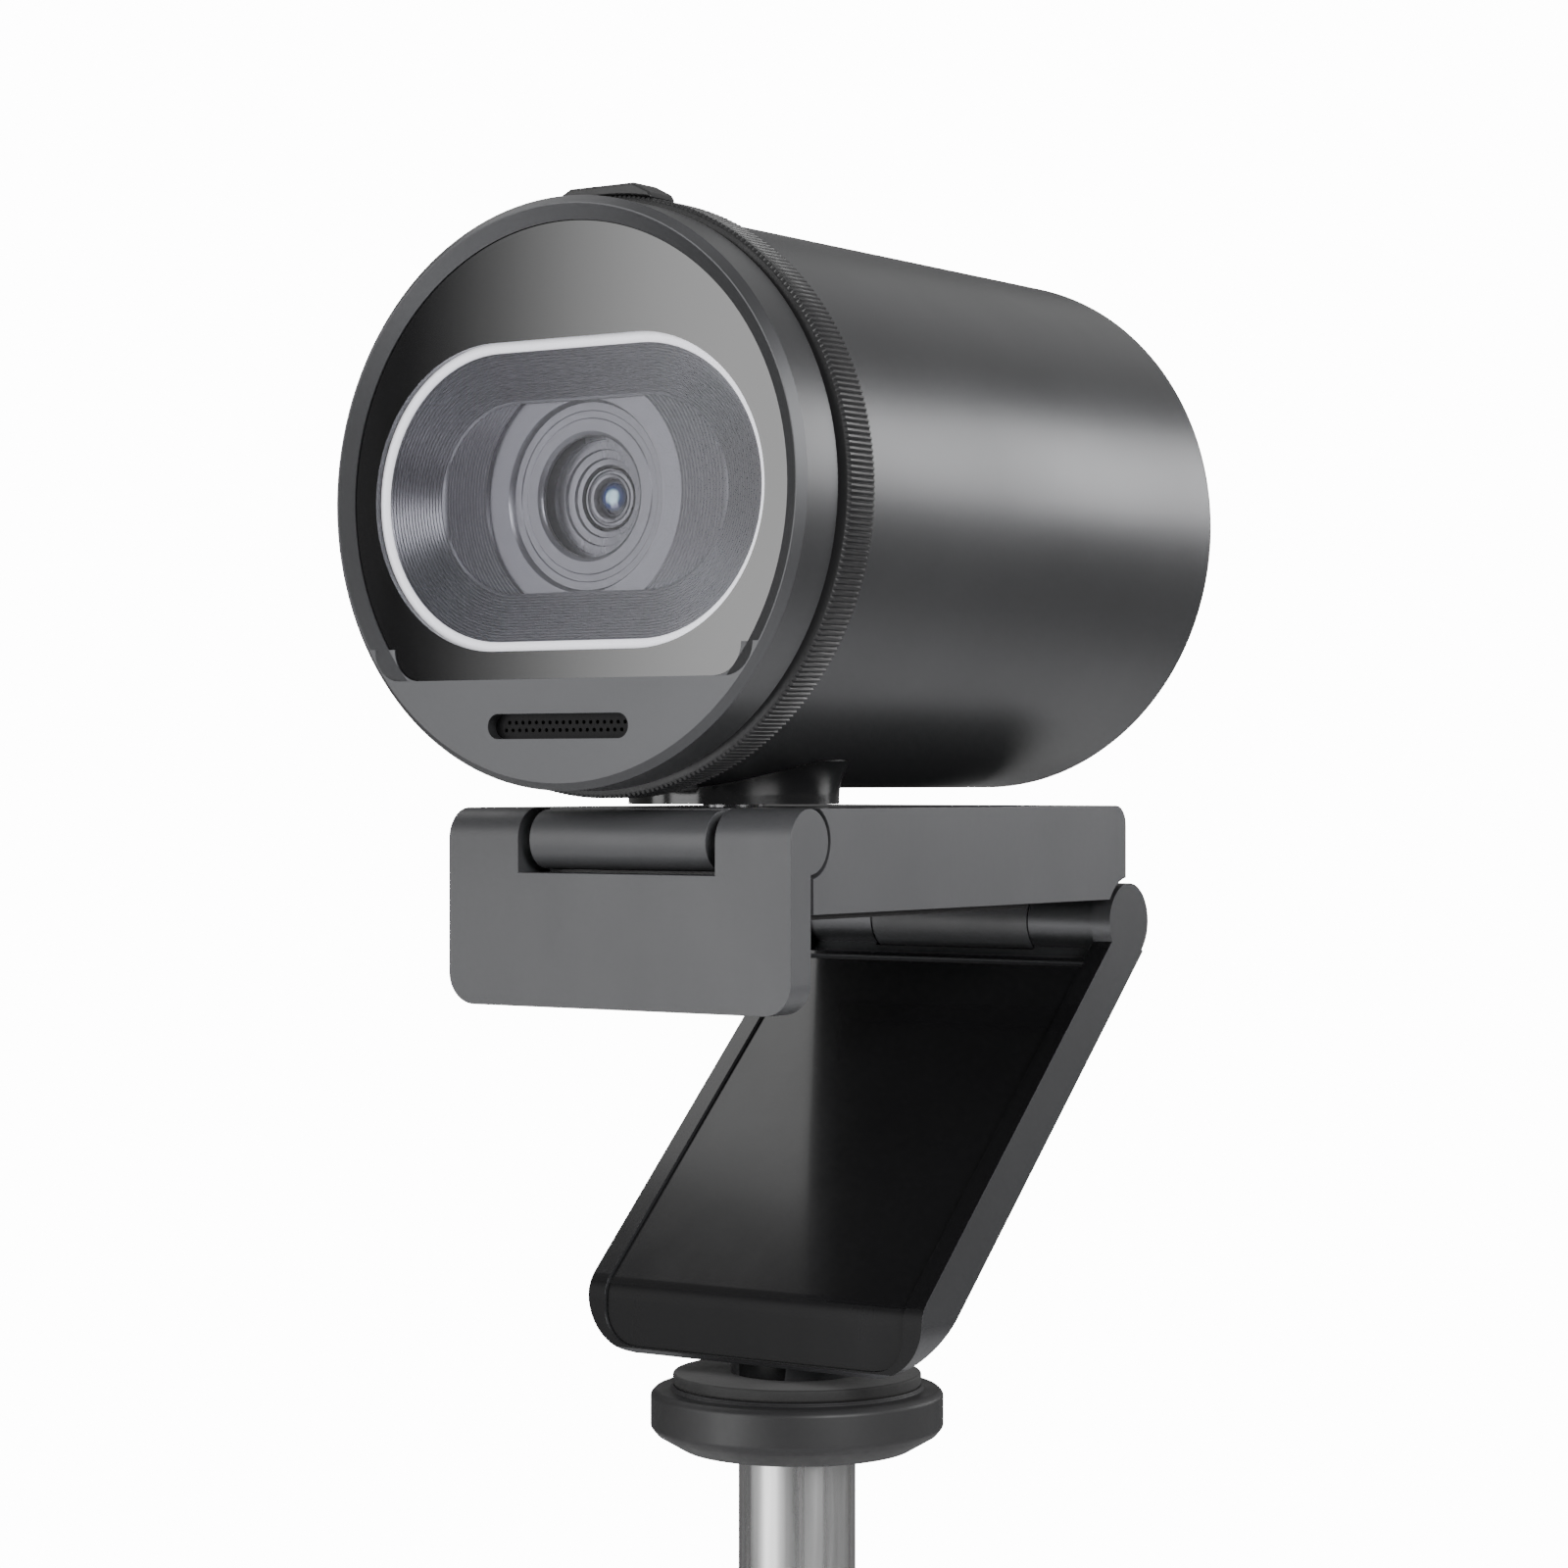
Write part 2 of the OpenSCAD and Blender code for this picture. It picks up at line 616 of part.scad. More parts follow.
module tripod_leg(angle) color("black") splayed(angle) difference() {
    union() {
        translate([0, 0, leg_end]) linear_extrude(wide_top - leg_end) leg_arc(leg_inner_r);
        translate([0, 0, leg_end]) linear_extrude(9) leg_arc(web_r);
        rotate([90, 0, 0]) cylinder(h = tongue_w, r = tongue_r, center = true);
        translate([-tongue_r, -tongue_w / 2, wide_top - 6]) cube([2 * tongue_r, tongue_w, 6 - wide_top]);
    }
    rotate([90, 0, 0]) cylinder(h = 20, r = leg_pin_r + running, center = true);
}

// Bright inner bars of a leg: one tapered, two thin and a cross piece
module leg_bars(angle) color("silver") splayed(angle) {
    translate([bar_x, 0, 0]) rotate([90, 0, -90]) linear_extrude(bar_t) polygon([
        [-2.1, -19], [2.1, -19], [3.9, bar_end], [-3.9, bar_end]
    ]);
    for (side = [-1, 1]) translate([bar_x - bar_t, side * 7.3 - 0.6, bar_end]) cube([bar_t, 1.2, 34]);
    translate([bar_x - bar_t, -8, bar_end - 3]) cube([bar_t, 16, 3]);
}

module foot(angle) color("black") intersection() {
    splayed(angle) translate([0, 0, foot_end]) linear_extrude(leg_end - foot_end) leg_arc(web_r);
    translate([-200, -200, 0]) cube([400, 400, 60]);
}

module leg_back() tripod_leg(leg_angles[0]);
module leg_left() tripod_leg(leg_angles[1]);
module leg_right() tripod_leg(leg_angles[2]);
module bars_back() leg_bars(leg_angles[0]);
module bars_left() leg_bars(leg_angles[1]);
module bars_right() leg_bars(leg_angles[2]);
module foot_back() foot(leg_angles[0]);
module foot_left() foot(leg_angles[1]);
module foot_right() foot(leg_angles[2]);

front_bezel();
front_glass();
trim_ring();
mic_mesh();
microphones();
lens_surround();
shutter_blade();
shutter_pin();
lens_housing();
lens_barrel();
front_lens();
rear_lens();
image_sensor();
sensor_board();
board_posts();
main_board();
board_screws();
heat_sink();
inner_sleeve();
privacy_ring();
privacy_tab();
barrel_housing();
rear_cap();
rear_screws();
usb_socket();
usb_tongue();
neck();
swivel_post();
swivel_washer();
swivel_screw();
arm();
arm_cover();
arm_pad();
front_lip();
lip_pad();
lip_pin();
rear_pin();
clip_leg();
leg_panel();
thread_bush();
stud();
top_disc();
disc_pad();
tube_top();
tube_mid();
tube_low();
mid_collar();
low_collar();
hub_upper();
hub_lower();
leg_pins();
leg_back();
leg_left();
leg_right();
bars_back();
bars_left();
bars_right();
foot_back();
foot_left();
foot_right();
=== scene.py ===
import json
import math
import bmesh
import bpy
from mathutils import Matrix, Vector


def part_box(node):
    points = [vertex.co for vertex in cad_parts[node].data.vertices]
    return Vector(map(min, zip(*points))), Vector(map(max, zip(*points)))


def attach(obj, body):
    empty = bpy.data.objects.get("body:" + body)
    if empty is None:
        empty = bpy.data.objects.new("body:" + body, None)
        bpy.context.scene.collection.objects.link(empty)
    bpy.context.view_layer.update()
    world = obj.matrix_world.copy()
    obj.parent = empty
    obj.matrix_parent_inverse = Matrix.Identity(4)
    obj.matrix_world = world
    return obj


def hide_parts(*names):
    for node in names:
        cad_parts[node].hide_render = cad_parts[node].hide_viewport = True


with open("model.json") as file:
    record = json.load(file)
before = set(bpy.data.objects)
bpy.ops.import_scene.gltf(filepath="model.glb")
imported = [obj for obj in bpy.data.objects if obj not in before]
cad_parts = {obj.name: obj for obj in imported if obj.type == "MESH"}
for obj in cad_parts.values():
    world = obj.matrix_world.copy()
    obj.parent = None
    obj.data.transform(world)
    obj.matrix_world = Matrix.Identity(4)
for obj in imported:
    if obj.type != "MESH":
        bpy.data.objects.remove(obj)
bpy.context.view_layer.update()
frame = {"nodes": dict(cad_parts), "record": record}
MM = 0.001


# ---------- where the head lies, from the frame ----------
bezel_low, bezel_high = [Vector(corner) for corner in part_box("front_bezel")]
AXIS_Z = (bezel_low.z + bezel_high.z) / 2
FACE_Y = bezel_low.y


def head_point(x, depth, z):
    """A point given in millimetres: across, behind the front face, above the barrel's axis."""
    return Vector((x * MM, FACE_Y + depth * MM, AXIS_Z + z * MM))


def head_box(node):
    """A CAD node's box in the same millimetres: half its width, bottom, top, front and back."""
    low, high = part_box(node)
    return ((high.x - low.x) / 2 / MM, (low.z - AXIS_Z) / MM, (high.z - AXIS_Z) / MM,
            (low.y - FACE_Y) / MM, (high.y - FACE_Y) / MM)


LENS_DEPTH = 7.9
WINDOW_CORNER = 3.0
OUTLINE_COUNT = 288


# ---------- node materials ----------
class Nodes:
    """A short way to build one node material around its Principled shader."""

    def __init__(self, name, color, roughness, metallic=0.0):
        self.material = bpy.data.materials.new(name)
        self.material.use_nodes = True
        self.tree = self.material.node_tree
        self.shader = self.tree.nodes["Principled BSDF"]
        self.shader.inputs["Base Color"].default_value = (*color, 1)
        self.shader.inputs["Roughness"].default_value = roughness
        self.shader.inputs["Metallic"].default_value = metallic
        self.coords = self.add("ShaderNodeTexCoord").outputs["Object"]

    def feed(self, socket, value):
        """Link the value to the socket if it is an output, else set it."""
        if isinstance(value, bpy.types.NodeSocket):
            self.tree.links.new(value, socket)
        else:
            socket.default_value = value

    def add(self, kind, **inputs):
        node = self.tree.nodes.new(kind)
        for name, value in inputs.items():
            self.feed(node.inputs[name.replace("_", " ")], value)
        return node

    def set(self, name, value):
        self.feed(self.shader.inputs[name], value)

    def noise(self, scale, detail=3.0, stretch=(1, 1, 1), roughness=0.5):
        mapping = self.add("ShaderNodeMapping", Vector=self.coords, Scale=stretch)
        return self.add("ShaderNodeTexNoise", Vector=mapping.outputs[0], Scale=scale, Detail=detail,
                        Roughness=roughness).outputs["Fac"]

    def spread(self, value, low, high, start=0.3, end=0.7):
        node = self.add("ShaderNodeMapRange", Value=value)
        for name, number in (("From Min", start), ("From Max", end), ("To Min", low), ("To Max", high)):
            node.inputs[name].default_value = number
        return node.outputs[0]

    def mix(self, factor, first, second):
        """Blend two colours, each given as three numbers or as an output."""
        node = self.tree.nodes.new("ShaderNodeMix")
        node.data_type = "RGBA"
        self.feed(node.inputs[0], factor)
        for socket, value in ((node.inputs[6], first), (node.inputs[7], second)):
            self.feed(socket, value if isinstance(value, bpy.types.NodeSocket) else (*value, 1))
        return node.outputs[2]

    def compute(self, operation, *values):
        node = self.tree.nodes.new("ShaderNodeMath")
        node.operation = operation
        for socket, value in zip(node.inputs, values):
            self.feed(socket, value)
        return node.outputs[0]

    def bump(self, height, strength, distance):
        node = self.add("ShaderNodeBump", Height=height, Strength=strength, Distance=distance)
        if self.shader.inputs["Normal"].is_linked:
            self.tree.links.new(self.shader.inputs["Normal"].links[0].from_socket, node.inputs["Normal"])
        self.set("Normal", node.outputs[0])


def moulded(name, color, roughness, grain, grain_depth=0.00002, variation=0.12, metallic=0.0):
    """Moulded or coated surface: fine grain, faint blotches in colour, handling marks in the gloss."""
    m = Nodes(name, color, roughness, metallic)
    blotch = m.noise(60, 4)
    lighter = tuple(min(1, channel * (1 + variation) + 0.002) for channel in color)
    darker = tuple(channel * (1 - variation) for channel in color)
    m.set("Base Color", m.mix(blotch, darker, lighter))
    marks = m.noise(170, 5, (1, 1, 0.35), 0.6)
    m.set("Roughness", m.spread(marks, roughness * 0.86, roughness * 1.16))
    m.bump(m.noise(grain, 2), 0.25, grain_depth)
    return m


def graphite_shell():
    m = moulded("graphite_shell", (0.075, 0.076, 0.08), 0.4, grain=3800, grain_depth=0.000012, metallic=0.75)
    m.set("Roughness", m.spread(m.noise(40, 3), 0.38, 0.43))
    m.set("Coat Weight", 0.18)
    m.set("Coat Roughness", 0.3)
    return m.material


def matte_grey():
    m = moulded("matte_grey", (0.066, 0.067, 0.071), 0.4, grain=3000, grain_depth=0.000014, variation=0.06)
    m.set("Specular IOR Level", 0.45)
    return m.material


def matte_black():
    return moulded("matte_black", (0.017, 0.017, 0.018), 0.42, grain=2600, grain_depth=0.000018).material


def tripod_black():
    return moulded("tripod_black", (0.016, 0.016, 0.017), 0.5, grain=1500, grain_depth=0.00003).material


def gloss_black():
    m = moulded("gloss_black", (0.006, 0.006, 0.0065), 0.16, grain=900, grain_depth=0.000002, variation=0.05)
    m.set("Coat Weight", 0.35)
    m.set("Coat Roughness", 0.08)
    return m.material


def satin_toe():
    """Close to the gloss panel's black, but it mirrors far less: the toe's front and the mic grille."""
    m = moulded("satin_toe", (0.008, 0.008, 0.0085), 0.3, grain=900, grain_depth=0.000002, variation=0.05)
    m.set("Specular IOR Level", 0.1)
    return m.material


def painted_glass():
    m = moulded("painted_glass", (0.003, 0.003, 0.0035), 0.06, grain=700, grain_depth=0.0000008,
                variation=0.05)
    m.set("IOR", 1.85)
    return m.material


def clear_glass():
    """A clear pane: it mirrors more at grazing angles, and what it doesn't mirror passes straight on."""
    m = Nodes("clear_window", (0.9, 0.91, 0.93), 0.04, 1.0)
    smudge = m.noise(45, 4, (1, 1, 2))
    m.set("Roughness", m.spread(smudge, 0.02, 0.06))
    m.set("Base Color", m.mix(m.noise(30), (0.88, 0.89, 0.91), (0.94, 0.94, 0.96)))
    passing = m.add("ShaderNodeBsdfTransparent", Color=(0.93, 0.93, 0.95, 1))
    facing = m.add("ShaderNodeLayerWeight", Blend=0.5).outputs["Facing"]
    least, added = 0.015, 0.9
    mirror = m.compute("MULTIPLY_ADD", m.compute("POWER", facing, 5.0), added, least)
    mixed = m.tree.nodes.new("ShaderNodeMixShader")
    for socket, value in zip(mixed.inputs, (mirror, passing.outputs[0], m.shader.outputs[0])):
        m.feed(socket, value)
    m.feed(m.tree.nodes["Material Output"].inputs["Surface"], mixed.outputs[0])
    return m.material


def lens_glass():
    """Coated glass, dark violet-blue, with a pale cyan pupil near the middle that is a painted glint."""
    m = Nodes("lens_coating_painted_glint", (0.02, 0.03, 0.08), 0.04)
    # The painted glint is centred a little right of and above the lens axis.
    offset = m.add("ShaderNodeVectorMath", Vector=m.coords)
    offset.operation = "SUBTRACT"
    offset.inputs[1].default_value = head_point(0.25, LENS_DEPTH, 0.15)
    length = m.add("ShaderNodeVectorMath", Vector=offset.outputs[0])
    length.operation = "LENGTH"
    radius = length.outputs["Value"]
    rim = m.mix(m.spread(radius, 0.0, 1.0, 0.0009, 0.0015), (0.03, 0.06, 0.2), (0.004, 0.004, 0.01))
    # The pale cyan pupil is a painted glint: a reflection of the lamps painted into the lens colour.
    m.set("Base Color", m.mix(m.spread(radius, 0.0, 1.0, 0.0005, 0.00085), (0.55, 0.9, 1.0), rim))
    m.set("Roughness", m.spread(m.noise(400), 0.03, 0.06))
    m.set("IOR", 1.6)
    m.set("Coat Weight", 1.0)
    m.set("Coat Roughness", 0.02)
    return m.material


def metal(name, color, roughness, stretch, grain=900, depth=0.000006):
    """Brushed or turned metal: streaks run along the axis with the smallest stretch."""
    m = Nodes(name, color, roughness, 1.0)
    streaks = m.noise(grain, 4, stretch, 0.6)
    m.set("Roughness", m.spread(streaks, roughness * 0.75, roughness * 1.3))
    m.set("Base Color", m.mix(m.noise(70, 3), tuple(0.86 * c for c in color), color))
    m.bump(streaks, 0.3, depth)
    return m.material


def trim_paint_painted_glow():
    m = moulded("bright_trim", (0.94, 0.94, 0.96), 0.3, grain=900, grain_depth=0.000001, variation=0.02)
    # Emission makes the white trim glow though it is no lamp: painted light.
    m.set("Emission Color", (1, 1, 1, 1))
    m.set("Emission Strength", 0.9)
    return m.material


def reflector_grey():
    m = moulded("reflector_grey", (0.17, 0.17, 0.18), 0.32, grain=1800, grain_depth=0.0000004, variation=0.05)
    m.set("Metallic", 0.6)
    return m.material


def housing_grey():
    m = moulded("housing_grey", (0.16, 0.16, 0.17), 0.26, grain=1800, grain_depth=0.0000004, variation=0.05)
    m.set("Metallic", 0.5)
    return m.material


def rubber():
    m = moulded("fine_rubber", (0.014, 0.014, 0.014), 0.72, grain=1100, grain_depth=0.00006, variation=0.2)
    m.set("Sheen Weight", 0.08)
    return m.material


def board_green():
    m = moulded("board_green", (0.012, 0.11, 0.05), 0.35, grain=1000)
    tracks = m.add("ShaderNodeTexBrick", Vector=m.coords, Scale=420.0)
    m.set("Base Color", m.mix(tracks.outputs["Fac"], (0.012, 0.11, 0.05), (0.03, 0.2, 0.09)))
    return m.material


def shutter_red():
    return moulded("shutter_red", (0.3, 0.012, 0.012), 0.5, grain=2000).material


MATERIALS = {
    "graphite_shell": graphite_shell(),
    "matte_grey": matte_grey(),
    "matte_black": matte_black(),
    "gloss_black": gloss_black(),
    "dark_glass": painted_glass(),
    "lens_glass": lens_glass(),
    "bright_trim": trim_paint_painted_glow(),
    "reflector_grey": reflector_grey(),
    "steel": metal("steel", (0.62, 0.62, 0.63), 0.28, (1, 1, 0.05)),
    "tube_metal": metal("tube_metal", (0.68, 0.68, 0.68), 0.3, (1, 1, 0.02)),
    "brass": metal("brass", (0.75, 0.56, 0.25), 0.25, (1, 1, 0.1)),
    "board": board_green(),
    "shutter_red": shutter_red(),
    "rubber": rubber(),
}
CLEAR = clear_glass()
TOE = satin_toe()
TRIPOD = tripod_black()
HOUSING = housing_grey()
node_slots = {part["node"]: part["material_slot"] for part in frame["record"]["subparts"]}
TRIPOD_NODES = {"top_disc", "mid_collar", "low_collar", "hub_upper", "hub_lower",
                "leg_back", "leg_left", "leg_right"}


def finish_for(node):
    if node in TRIPOD_NODES:
        return TRIPOD
    if node == "lens_housing":
        return HOUSING
    return MATERIALS[node_slots[node]]


def dress(obj, material):
    if not obj.material_slots:
        obj.data.materials.append(material)
    for material_slot in obj.material_slots:
        material_slot.material = material


bodies = frame["record"]["behaviour"]["bodies"]
body_of_node = {node: body for body, nodes in bodies.items() for node in nodes}
for node_name, cad_object in frame["nodes"].items():
    dress(cad_object, finish_for(node_name))


# ---------- mesh helpers ----------
def new_piece(name, mesh, material, body, smooth=True):
    """Put a mesh in the scene as a piece that rides on that body."""
    piece = bpy.data.objects.new(name, mesh)
    bpy.context.collection.objects.link(piece)
    mesh.materials.append(material)
    for polygon in mesh.polygons:
        polygon.use_smooth = smooth
    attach(piece, body)
    return piece


def apply_modifiers(piece):
    bpy.context.view_layer.update()
    evaluated = piece.evaluated_get(bpy.context.evaluated_depsgraph_get())
    mesh = bpy.data.meshes.new_from_object(evaluated)
    piece.modifiers.clear()
    piece.data = mesh


def sharpened(piece, degrees):
    """Shade the edges that turn by more than that angle as sharp."""
    piece.data.set_sharp_from_angle(angle=math.radians(degrees))


def softened(node, width):
    """A copy of a CAD node with its sharp edges rounded, which stands for that node."""
    merge_within, flat_within, bevel_over, sharp_over = 0.000004, 1.0, 28, 40
    source = frame["nodes"][node]
    mesh = source.data.copy()
    mesh.transform(source.matrix_world)
    shaped = bmesh.new()
    shaped.from_mesh(mesh)
    bmesh.ops.remove_doubles(shaped, verts=shaped.verts, dist=merge_within)
    bmesh.ops.dissolve_limit(shaped, angle_limit=math.radians(flat_within), verts=shaped.verts,
                             edges=shaped.edges)
    shaped.to_mesh(mesh)
    shaped.free()
    mesh.materials.clear()
    piece = new_piece(node + "_soft", mesh, finish_for(node), body_of_node[node])
    bevel = piece.modifiers.new("round", "BEVEL")
    bevel.width = width * MM
    bevel.segments = 3
    bevel.limit_method = "ANGLE"
    bevel.angle_limit = math.radians(bevel_over)
    bevel.use_clamp_overlap = True
    apply_modifiers(piece)
    sharpened(piece, sharp_over)
    weighted = piece.modifiers.new("even", "WEIGHTED_NORMAL")
    weighted.keep_sharp = True
    apply_modifiers(piece)
    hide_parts(node)
    return piece


def finished(shaped, name):
    """Turn a bmesh into a mesh, with all its faces pointing outwards."""
    bmesh.ops.recalc_face_normals(shaped, faces=shaped.faces)
    mesh = bpy.data.meshes.new(name)
    shaped.to_mesh(mesh)
    shaped.free()
    return mesh


def skin(rows, name):
    """A closed skin over rows of points. It joins each row's ends, and the last row to the first."""
    shaped = bmesh.new()
    rows = [[shaped.verts.new(point) for point in row] for row in rows]
    for here, there in zip(rows, rows[1:] + rows[:1]):
        for index in range(len(here)):
            after = (index + 1) % len(here)
            shaped.faces.new((here[index], there[index], there[after], here[after]))
    return finished(shaped, name)


def revolve(profile, steps):
    """Turn a profile of (radius, depth) about the barrel's axis."""
    turns = [2 * math.pi * step / steps for step in range(steps)]
    return skin([[head_point(r * math.cos(turn), y, r * math.sin(turn)) for r, y in profile]
                 for turn in turns], "turned")


def loft(rings):
    """Skin between outlines with the same number of points; each ring is (points, depth)."""
    return skin([[head_point(x, depth, z) for x, z in points] for points, depth in rings], "loft")


def plate(outline, front, back):
    """A flat closed plate with that convex outline, as a list of (x, z)."""
    shaped = bmesh.new()
    near, far = [[shaped.verts.new(head_point(x, depth, z)) for x, z in outline] for depth in (front, back)]
    shaped.faces.new(near)
    shaped.faces.new(far)
    for index in range(len(outline)):
        after = (index + 1) % len(outline)
        shaped.faces.new((near[index], near[after], far[after], far[index]))
    return finished(shaped, "plate")


def stadium_outline(radius, half, arc_steps):
    """Points round a stadium whose round ends have their centres half to each side."""
    points = []
    for side in (1, -1):
        for step in range(arc_steps + 1):
            turn = math.pi * (step / arc_steps - 0.5)
            points.append((side * (half + radius * math.cos(turn)), side * radius * math.sin(turn)))
    return points


# ---------- barrel ----------
def barrel_shell():
    """The round metal tube with a rolled rear edge."""
    outer, _, _, front, back = head_box("barrel_housing")
    wall, edge, cuts = 1.6, 1.1, 8
    chamfer, straight = 0.15, 0.5
    profile = [(outer - wall, front), (outer - chamfer, front), (outer, front + chamfer),
               (outer, front + straight), (outer, back - edge - 0.4)]
    for cut in range(cuts + 1):
        turn = math.pi / 2 * cut / cuts
        profile.append((outer - edge + edge * math.cos(turn), back - edge + edge * math.sin(turn)))
    profile.append((outer - wall, back))
    piece = new_piece("barrel_shell", revolve(profile, 256), MATERIALS["graphite_shell"], "head")
    sharpened(piece, 35)
    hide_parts("barrel_housing")


# ---------- privacy ring with its knurling ----------
def knurled_ring():
    """The ring's rim is cut into fine ridges along its depth; the ridges stay inside the CAD radius."""
    outer, _, _, front, back = head_box("privacy_ring")
    inner, base = outer - 2.5, outer - 0.3
    ridges, cuts = 320, 6
    clearance, ridge_height, crest_width = 0.02, 0.24, 1.35
    rows = []
    for step in range(ridges * cuts):
        turn = 2 * math.pi * step / (ridges * cuts)
        wave = step % cuts / cuts
        rise = 0.5 + 0.5 * math.cos(2 * math.pi * wave)
        crest = outer - clearance - ridge_height * (1 - min(1.0, rise * crest_width))
        profile = [(inner, front), (base - 0.1, front), (base, front + 0.06), (crest, front + 0.26),
                   (crest, back - 0.26), (base, back - 0.06), (base - 0.1, back), (inner, back)]
        rows.append([head_point(r * math.sin(turn), y, r * math.cos(turn)) for r, y in profile])
    piece = new_piece("knurled_ring", skin(rows, "knurled_ring"), MATERIALS["matte_black"], "privacy")
    sharpened(piece, 40)
    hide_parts("privacy_ring")


# ---------- the window: dark painted glass with a clear stadium ----------
def outline_of_window(count, radius, flat, corner):
    """Round outline with a flat lower edge, as points at equal angles about the axis."""
    corner_x = math.sqrt((radius - corner) ** 2 - (flat - corner) ** 2)
    centre = Vector((corner_x, corner - flat))
    points = []
    for step in range(count):
        turn = -0.5 * math.pi + 2 * math.pi * step / count
        ray = Vector((math.cos(turn), math.sin(turn)))
        best = radius
        if ray.y < 0:
            best = min(best, flat / -ray.y)
            along = abs(ray.x) * centre.x + ray.y * centre.y
            off = centre.length_squared - along ** 2
            if off < corner ** 2:
                hit = along + math.sqrt(corner ** 2 - off)
                spot = Vector((abs(ray.x), ray.y)) * hit
                if spot.x >= centre.x and ray.y * centre.x <= centre.y * abs(ray.x):
                    best = hit
        points.append((ray.x * best, ray.y * best))
    return points


def ray_stadium(count, radius, half):
    """Stadium outline as points at the same equal angles as the window's outline."""
    points = []
    for step in range(count):
        turn = -0.5 * math.pi + 2 * math.pi * step / count
        x, z = math.cos(turn), math.sin(turn)
        reach = radius / max(abs(z), 1e-6)
        if reach * abs(x) > half:
            along = half * abs(x)
            reach = along + math.sqrt(radius ** 2 - half ** 2 + along ** 2)
        points.append((x * reach, z * reach))
    return points


def glass_window():
    """Dark painted glass with a stadium-shaped hole, and the clear pane that fills it."""
    half_width, bottom, _, front, back = head_box("front_glass")
    trim_width, trim_bottom, trim_top, _, _ = head_box("trim_ring")
    trim_r = (trim_top - trim_bottom) / 2
    trim_half = trim_width - trim_r
    clearance, hole_inset, pane_inset = 0.02, 0.12, 0.13
    rim_scale, rim_depth = 0.996, 0.08
    outer = outline_of_window(OUTLINE_COUNT, half_width - clearance, -bottom - clearance, WINDOW_CORNER)
    rim = [(x * rim_scale, z * rim_scale) for x, z in outer]
    hole = ray_stadium(OUTLINE_COUNT, trim_r - hole_inset, trim_half)
    mesh = loft([(outer, front + rim_depth), (outer, back), (hole, back), (hole, front), (rim, front)])
    painted = new_piece("window_painted", mesh, MATERIALS["dark_glass"], "head")
    sharpened(painted, 35)
    pane = plate(ray_stadium(OUTLINE_COUNT, trim_r - pane_inset, trim_half), front, back)
    new_piece("window_clear", pane, CLEAR, "head", smooth=False)
    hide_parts("front_glass")


def bright_ring():
    """The white stadium ring, with a rounded section; it also glows with painted light."""
    half_width, bottom, top, front, back = head_box("trim_ring")
    radius = (top - bottom) / 2
    half = half_width - radius
    width, sides = 1.0, 12
    rings = []
    for step in range(sides):
        turn = 2 * math.pi * step / sides
        inset = width / 2 - width / 2 * math.cos(turn)
        depth = (front + back) / 2 + (back - front) / 2 * math.sin(turn)
        rings.append((stadium_outline(radius - inset, half, 40), depth))
    piece = new_piece("trim_ring_round", loft(rings), MATERIALS["bright_trim"], "head")
    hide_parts("trim_ring")


# ---------- stepped reflector ----------
def reflector():
    """Funnel of fine stadium steps, a flat recess with turned grooves, and the throat."""
    half_width, bottom, top, front, back = head_box("lens_surround")
    outer_r = (top - bottom) / 2
    half = half_width - outer_r
    count = OUTLINE_COUNT
    rim_r, recess_r, recess_half, recess_y = outer_r - 2.3, 9.0, 7.5, 3.6
    rings = [(ray_stadium(count, outer_r, half), back), (ray_stadium(count, outer_r, half), front),
             (ray_stadium(count, rim_r, half), front)]
    steps, step_cut = 17, 0.09
    for step in range(steps):
        along = (step + 0.5) / steps
        after = (step + 1) / steps
        depth = front + (recess_y - front) * after
        r_here = rim_r + (recess_r - rim_r) * along
        r_next = rim_r + (recess_r - rim_r) * after
        half_here = half + (recess_half - half) * along
        rings.append((ray_stadium(count, r_here, half_here), depth + step_cut))
        rings.append((ray_stadium(count, r_next, half + (recess_half - half) * after), depth))
    # Flat recess: fine turned grooves, cut off by the recess's stadium edge
    edge = ray_stadium(count, recess_r, recess_half)

    def ring_at(radius, depth):
        """A circle of that radius, kept a quarter of a millimetre inside the recess's edge."""
        points = []
        for x, z in edge:
            reach = math.hypot(x, z) - 0.25
            scale = min(radius, reach) / math.hypot(x, z)
            points.append((x * scale, z * scale))
        return points, depth

    groove_deep, groove_wide, groove_pitch = 0.1, 0.32, 0.34
    radius, last_groove = 16.0, 11.4
    while radius > last_groove:
        rings.append(ring_at(radius, recess_y + groove_deep))
        rings.append(ring_at(radius - groove_wide / 2, recess_y + 2 * groove_deep))
        rings.append(ring_at(radius - groove_wide, recess_y + groove_deep))
        radius -= groove_pitch
    steps_to_throat = [(11.3, 3.75), (11.2, 4.1), (8.9, 4.12), (8.75, 4.3), (8.6, 4.7), (7.9, 4.72),
                       (7.8, 4.82), (7.2, 4.84), (7.1, 4.74), (6.0, 4.76), (5.75, 4.9), (5.6, 5.1),
                       (5.6, back)]
    for radius, depth in steps_to_throat:
        rings.append(ring_at(radius, depth))
    piece = new_piece("reflector_grooved", loft(rings), MATERIALS["reflector_grey"], "head")
    sharpened(piece, 25)
    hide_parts("lens_surround")


